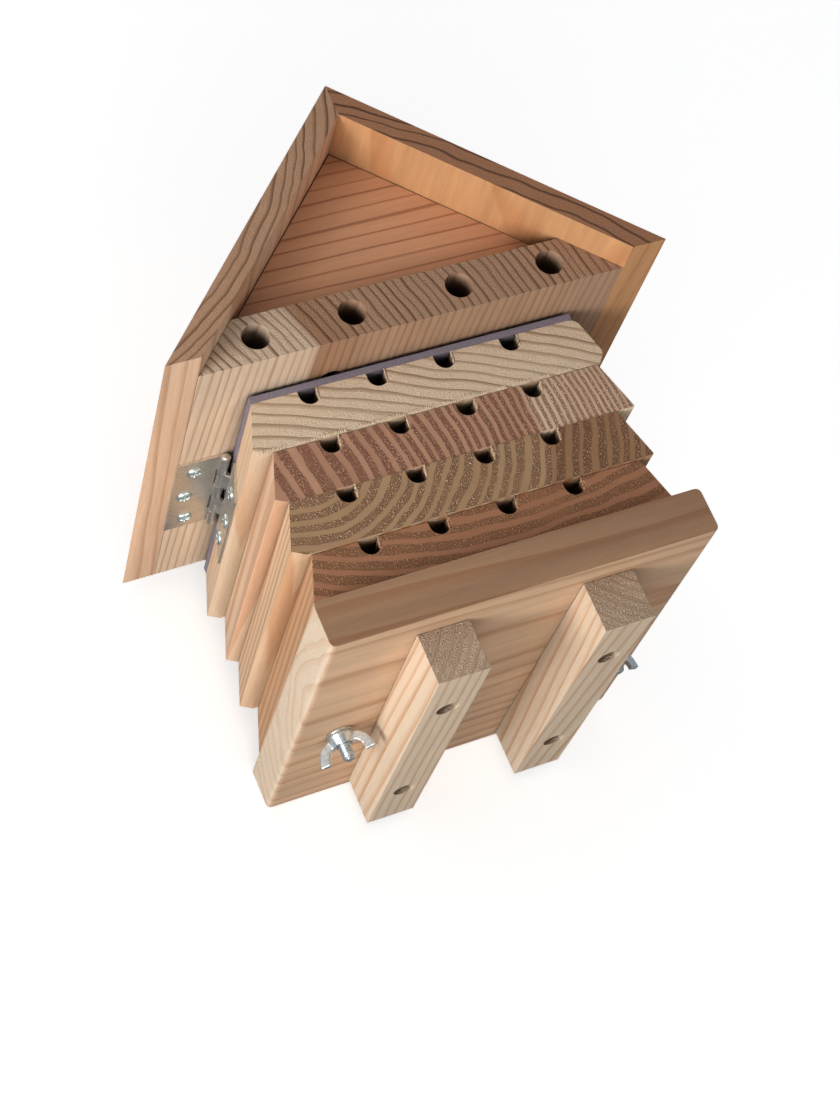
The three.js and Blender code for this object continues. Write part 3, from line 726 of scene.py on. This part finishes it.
def screw(node):
    """A raised countersunk screw: a domed head with a cross recess, a cone and a threaded shank."""
    tip, direction, seat, head = axis_of(node)
    dome = head * DOME_HEIGHT
    shank = head * SHANK_RADIUS
    bm = bmesh.new()

    def shank_row(height):
        def at(turn):
            thread = abs(2 * ((height / (SCREW_PITCH * shank) + turn) % 1) - 1)
            taper = min(1.0, 0.15 + height / (SCREW_POINT * shank))
            return shank * (SCREW_CORE + (1 - SCREW_CORE) * thread) * taper, height
        return at

    def dome_row(share):
        radius = head * math.cos(share * math.pi / 2) ** 0.8
        level = seat + dome * math.sin(share * math.pi / 2)

        def at(turn):
            angle = 2 * math.pi * turn
            across = min(abs(math.cos(angle)), abs(math.sin(angle))) * radius
            along_bar = max(0.0, min(1.0, (RECESS_LENGTH * head - radius) * 8 / head))
            inside = max(0.0, 1 - across / (RECESS_WIDTH * head)) * along_bar
            return radius, level - min(1.0, inside * 1.8) * dome * 0.9
        return at

    neck = seat - (head - shank)
    turns = max(8, int(neck / (SCREW_PITCH * shank) * 5))
    rows = [shank_row(neck * step / turns) for step in range(turns + 1)]
    rows += [lambda turn: (head, seat - 0.02 * head)]
    rows += [dome_row(step / DOME_ROWS * 0.97) for step in range(DOME_ROWS + 1)]
    turned(bm, rows, SCREW_RING)
    turn = direction.to_track_quat("Z", "Y").to_matrix().to_4x4()
    bm.transform(Matrix.Translation(tip) @ turn)
    return bm


BOLT_RADIUS = 2.5 * MM
THREAD_PITCH = 0.8 * MM
THREAD_DEPTH = 0.42 * MM
THREAD_ROWS = 8        # rows of points for each turn of the thread
THREAD_RING = 32       # points round it
THREAD_CHAMFER = 0.8 * MM
CHAMFER_SLOPE = 0.8


def bolt(node):
    """The CAD bolt down to the base board's middle, and a cut thread from there to its end."""
    low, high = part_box(node)
    middle = (low + high) / 2
    base_low, base_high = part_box("base_board")
    cut = (base_low.z + base_high.z) / 2
    bm = ease_edges(clean_mesh(node), 0.15 * MM, 2, METAL_EDGE)
    everything = bm.verts[:] + bm.edges[:] + bm.faces[:]
    bmesh.ops.bisect_plane(
        bm, geom=everything, plane_co=(0, 0, cut), plane_no=(0, 0, -1), clear_outer=True
    )
    bmesh.ops.holes_fill(bm, edges=[edge for edge in bm.edges if edge.is_boundary])
    thread = bmesh.new()

    def thread_row(height):
        def at(turn):
            groove = 1 - abs(2 * ((height / THREAD_PITCH - turn) % 1) - 1)
            chamfer = max(0.0, THREAD_CHAMFER - (height - low.z)) * CHAMFER_SLOPE
            return BOLT_RADIUS - THREAD_DEPTH * groove - chamfer, height
        return at

    rows = int((cut - low.z) / THREAD_PITCH * THREAD_ROWS)
    heights = [low.z + (cut - low.z) * row / rows for row in range(rows + 1)]
    turned(thread, [thread_row(height) for height in heights], THREAD_RING)
    thread.transform(Matrix.Translation((middle.x, middle.y, 0)))
    mesh = bpy.data.meshes.new("thread")
    thread.to_mesh(mesh)
    thread.free()
    bm.from_mesh(mesh)
    bpy.data.meshes.remove(mesh)
    return bm


def pressed(piece):
    """Runs the ears into the barrel with soft pressed corners."""
    remesh = piece.modifiers.new("skin", "REMESH")
    remesh.mode = "VOXEL"
    remesh.voxel_size = 0.22 * MM
    remesh.use_smooth_shade = True
    soften = piece.modifiers.new("soften", "SMOOTH")
    soften.factor = 0.5
    soften.iterations = 7


# Zinc plating: its bright, dull and tarnished colours, its roughness and its share of dirt.
HINGE_PLATE = ((240, 236, 228), (226, 220, 210), (186, 170, 150), 0.26, 0.3)
SCREW_PLATE = ((226, 240, 240), (204, 220, 220), (150, 150, 134), 0.26, 0.15)
BOLT_PLATE = ((228, 236, 238), (204, 212, 214), (168, 162, 150), 0.3, 0.2)
NAIL_PLATE = ((190, 188, 184), (150, 148, 144), (110, 96, 82), 0.34, 0.4)


def build_hardware():
    hinge = zinc("hinge_plate", *HINGE_PLATE)
    screws = zinc("screw_plate", *SCREW_PLATE)
    bolts = zinc("bolt_plate", *BOLT_PLATE)
    nails = zinc("nail_plate", *NAIL_PLATE)
    for node in ("hinge_leaf_upper", "hinge_leaf_lower", "hinge_pin"):
        hardware(node, hinge, 0.14)
    for node in NODES:
        if "screw" in node:
            stand_in(screw(node), node, screws, 40)
        elif "nail" in node:
            hardware(node, nails, 0.1, 2)
        elif node.startswith("washer"):
            hardware(node, bolts, 0.2, 2)
        elif node.startswith("clamp_bolt"):
            stand_in(bolt(node), node, bolts, 40)
        elif node.startswith("wing_nut"):
            pressed(hardware(node, bolts, 0.3, 2))


# ---------- stage, light and camera ----------

CAMERA_AZIMUTH = math.radians(-20.97)      # round the object from its front, towards its left side
CAMERA_ELEVATION = math.radians(-20.15)    # below the horizon, as the box is seen lying on its back
CAMERA_ROLL = math.radians(24.0)
CAMERA_DISTANCE = 0.8614                   # to the middle of the object's box, along the view
CAMERA_ASIDE = Vector((0.0102, -0.0378))   # the aim, right of and above that middle
LENS = 74.65           # focal length and sensor, in millimetres
SENSOR = 36.0
NEAREST, FURTHEST = 0.01, 20

PAPER_GLOW = 0.61
PAPER_HALF = 3.0       # half the side of each sheet
PAPER_GAP = 0.6 * MM   # between the object and a sheet


def build_camera():
    sine, cosine = math.sin(CAMERA_AZIMUTH), math.cos(CAMERA_AZIMUTH)
    flat, rise = math.cos(CAMERA_ELEVATION), math.sin(CAMERA_ELEVATION)
    back = Vector((sine * flat, -cosine * flat, rise))
    level = Vector((cosine, sine, 0))
    upright = back.cross(level)
    right = level * math.cos(CAMERA_ROLL) - upright * math.sin(CAMERA_ROLL)
    up = back.cross(right)
    middle = (cad_low + cad_high) / 2
    data = bpy.data.cameras.new("camera")
    data.lens = LENS
    data.sensor_width = SENSOR
    data.clip_start = NEAREST
    data.clip_end = FURTHEST
    camera = bpy.data.objects.new("camera", data)
    bpy.context.scene.collection.objects.link(camera)
    place = middle + back * CAMERA_DISTANCE + right * CAMERA_ASIDE.x + up * CAMERA_ASIDE.y
    turn = Matrix((right, up, back)).transposed().to_4x4()
    camera.matrix_world = Matrix.Translation(place) @ turn
    bpy.context.scene.camera = camera


def paper_material(name, seen_from_above):
    """White paper that shows only from its front, and only to a camera on its own side of the floor."""
    g = Graph(name)
    distance = g.add("ShaderNodeCameraData", {}, "View Distance")
    geometry = g.nodes.new("ShaderNodeNewGeometry")
    towards = g.scale(geometry.outputs["Incoming"], distance)
    eye = g.vector_math("ADD", geometry.outputs["Position"], towards)
    eye_height = g.parts(eye)[2]
    above = g.math("GREATER_THAN", eye_height, 0.0)
    shown = above if seen_from_above else g.minus(1.0, above)
    shown = g.times(shown, g.minus(1.0, geometry.outputs["Backfacing"]))
    speckle = g.noise(g.place(), 0.9, 2.0)
    white = g.mix(speckle, (0.97, 0.97, 0.97, 1), (1.0, 1.0, 0.995, 1))
    lit = g.add("ShaderNodeBsdfDiffuse", {"Color": white})
    glow = g.add("ShaderNodeEmission", {"Color": (1, 1, 1, 1), "Strength": PAPER_GLOW})
    paper = g.add("ShaderNodeAddShader", {0: lit, 1: glow})
    clear = g.add("ShaderNodeBsdfTransparent", {})
    g.add_output(g.add("ShaderNodeMixShader", {0: shown, 1: clear, 2: paper}))
    return g.material


def sheet_of_paper(name, centre, turn, material):
    """A sheet that the camera sees and that takes shadows, but that throws nothing back on the object."""
    mesh = bpy.data.meshes.new(name)
    signs = ((-1, -1), (1, -1), (1, 1), (-1, 1))
    mesh.from_pydata([(x * PAPER_HALF, y * PAPER_HALF, 0) for x, y in signs], [], [(0, 1, 2, 3)])
    mesh.materials.append(material)
    paper = bpy.data.objects.new(name, mesh)
    bpy.context.scene.collection.objects.link(paper)
    paper.matrix_world = Matrix.Translation(centre) @ turn
    paper.visible_diffuse = False
    paper.visible_glossy = False
    paper.visible_transmission = False
    paper.visible_shadow = False
    return paper


def build_stage():
    """A floor under the upright box, and behind it the sheet that it lies on in the main view."""
    floor = Vector((0, 0, cad_low.z - PAPER_GAP))
    backdrop = Vector((0, cad_high.y + PAPER_GAP, 0))
    stand = Matrix.Rotation(math.radians(90), 4, "X")
    return [
        sheet_of_paper("floor", floor, Matrix.Identity(4), paper_material("floor_paper", True)),
        sheet_of_paper("backdrop", backdrop, stand, paper_material("backdrop_paper", False)),
    ]


# Each lamp's place from the object's middle, power in watts, size and colour.
LAMPS = {
    "key": ((-0.76, -0.44, -0.30), 7.0, 0.36, (1.0, 0.99, 0.985)),
    "below": ((-0.35, -0.35, -0.85), 2.7, 0.7, (1.0, 0.99, 0.985)),
    "front": ((0.05, -0.9, 0.2), 0.9, 0.9, (1.0, 1.0, 1.0)),
    "top": ((-0.25, -0.35, 0.9), 1.2, 0.8, (0.96, 0.98, 1.0)),
}
FILL_COLOUR = (0.95, 0.97, 1.0, 1)
FILL_PANELS = 1.7      # how small the bright and dim parts of the fill light are
FILL_BLEND = (0.42, 0.58)      # the noise at which the fill is dim, and at which it is bright
FILL_STRENGTH = (0.08, 0.46)


def soft_light(name, place, power, size, colour):
    """A square area light that faces the object's middle."""
    data = bpy.data.lights.new(name, "AREA")
    data.shape = "SQUARE"
    data.size = size
    data.energy = power
    data.color = colour
    lamp = bpy.data.objects.new(name, data)
    bpy.context.scene.collection.objects.link(lamp)
    target = (cad_low + cad_high) / 2
    lamp.location = target + Vector(place)
    lamp.rotation_mode = "QUATERNION"
    lamp.rotation_quaternion = (target - lamp.location).to_track_quat("-Z", "Y")
    return lamp


def keep_off(lamp, papers):
    """Stops one lamp from lighting the paper, so that its long shadow doesn't grey the background."""
    kept = bpy.data.collections.new(f"{lamp.name}_keeps_off")
    lamp.light_linking.receiver_collection = kept
    for paper in papers:
        kept.objects.link(paper)
    for entry in kept.collection_objects:
        entry.light_linking.link_state = "EXCLUDE"


def build_light(papers):
    for name, lamp in LAMPS.items():
        made = soft_light(name, *lamp)
        if name == "key":
            keep_off(made, papers)


def build_world():
    """White behind everything for the camera, and soft bright and dim panels for the object."""
    world = bpy.data.worlds.new("studio")
    bpy.context.scene.world = world
    world.use_nodes = True
    nodes, links = world.node_tree.nodes, world.node_tree.links
    nodes.clear()
    output = nodes.new("ShaderNodeOutputWorld")
    seen = nodes.new("ShaderNodeBackground")
    seen.inputs["Color"].default_value = (1, 1, 1, 1)
    fill = nodes.new("ShaderNodeBackground")
    fill.inputs["Color"].default_value = FILL_COLOUR
    direction = nodes.new("ShaderNodeTexCoord")
    panels = nodes.new("ShaderNodeTexNoise")
    panels.inputs["Scale"].default_value = FILL_PANELS
    brightness = nodes.new("ShaderNodeMapRange")
    for end, blend, strength in zip(("Min", "Max"), FILL_BLEND, FILL_STRENGTH):
        brightness.inputs[f"From {end}"].default_value = blend
        brightness.inputs[f"To {end}"].default_value = strength
    links.new(direction.outputs["Generated"], panels.inputs["Vector"])
    links.new(panels.outputs["Fac"], brightness.inputs["Value"])
    links.new(brightness.outputs["Result"], fill.inputs["Strength"])
    path = nodes.new("ShaderNodeLightPath")
    choose = nodes.new("ShaderNodeMixShader")
    links.new(path.outputs["Is Camera Ray"], choose.inputs[0])
    links.new(fill.outputs[0], choose.inputs[1])
    links.new(seen.outputs[0], choose.inputs[2])
    links.new(choose.outputs[0], output.inputs["Surface"])


build_trays()
build_base()
build_roof()
build_sheet()
build_hardware()
build_camera()
build_light(build_stage())
build_world()
bpy.context.scene.view_settings.view_transform = "Standard"
